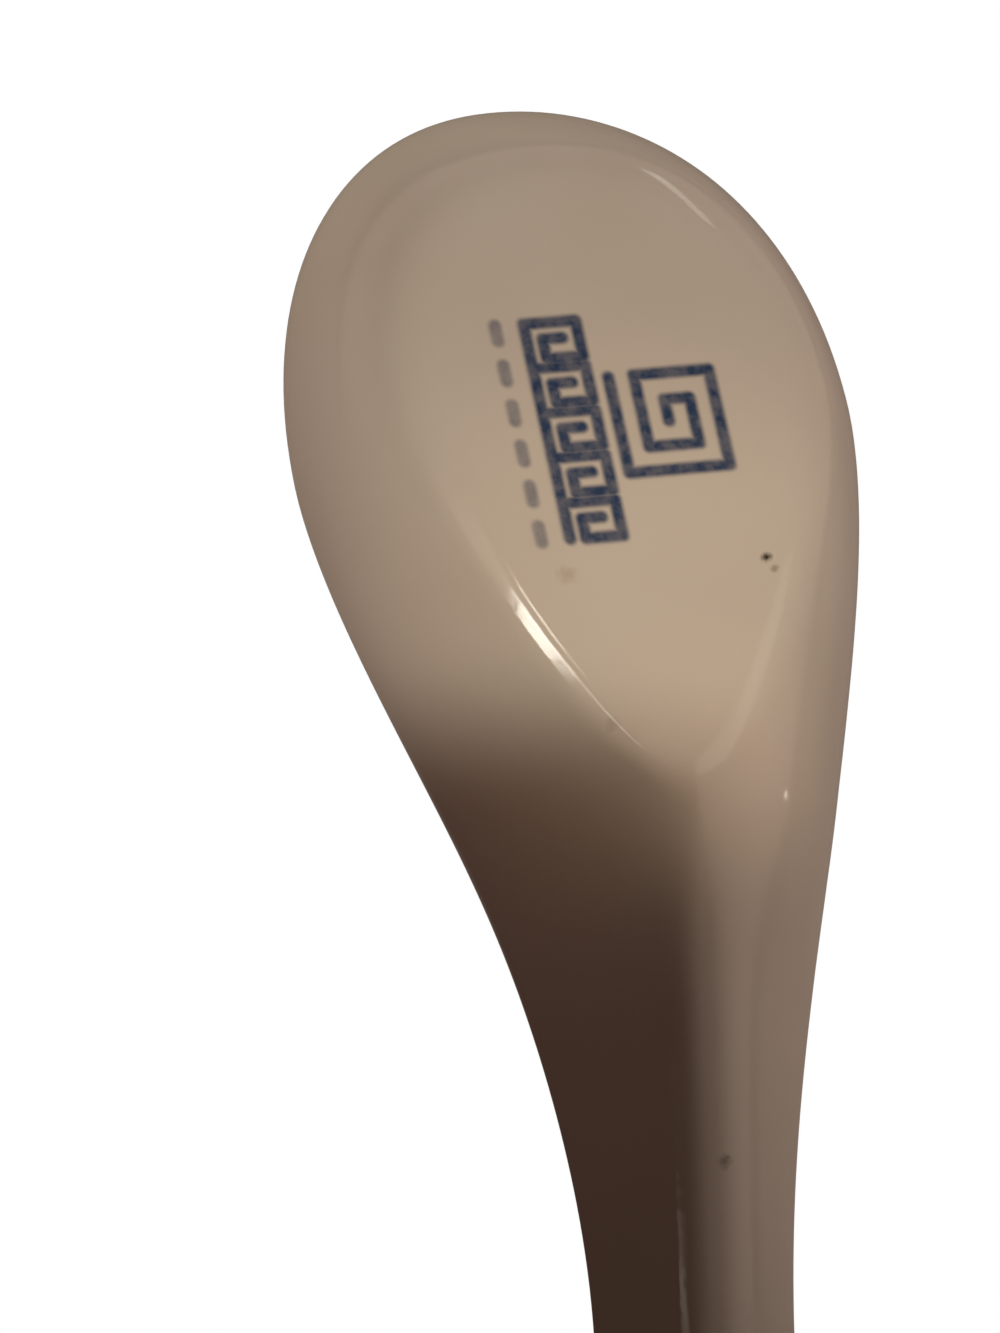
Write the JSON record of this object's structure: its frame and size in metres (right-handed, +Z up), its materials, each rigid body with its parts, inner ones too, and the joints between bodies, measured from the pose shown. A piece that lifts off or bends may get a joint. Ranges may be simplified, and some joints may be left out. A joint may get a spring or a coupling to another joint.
{
  "type": "chinese soup spoon",
  "caption": "Glazed white porcelain soup spoon with a deep egg-shaped bowl, a flat teardrop foot to stand on and a short grooved handle that rises from the bowl.",
  "frame": {"origin": "centre of the flat foot, on the surface that the spoon stands on", "axes": "+Z up out of the bowl, +Y along the spoon from the bowl's tip towards the handle's end, +X across the bowl"},
  "size_m": [0.045, 0.136, 0.0473],
  "materials": {
    "porcelain": "matte fired clay",
    "cobalt_ink": "blue pigment under glaze, soft edged",
    "glaze": "glossy warm white"
  },
  "bodies": {
    "root": {"porcelain_body": "porcelain", "base_mark": "cobalt_ink", "glaze_coat": "glaze"}
  },
  "joints": []
}
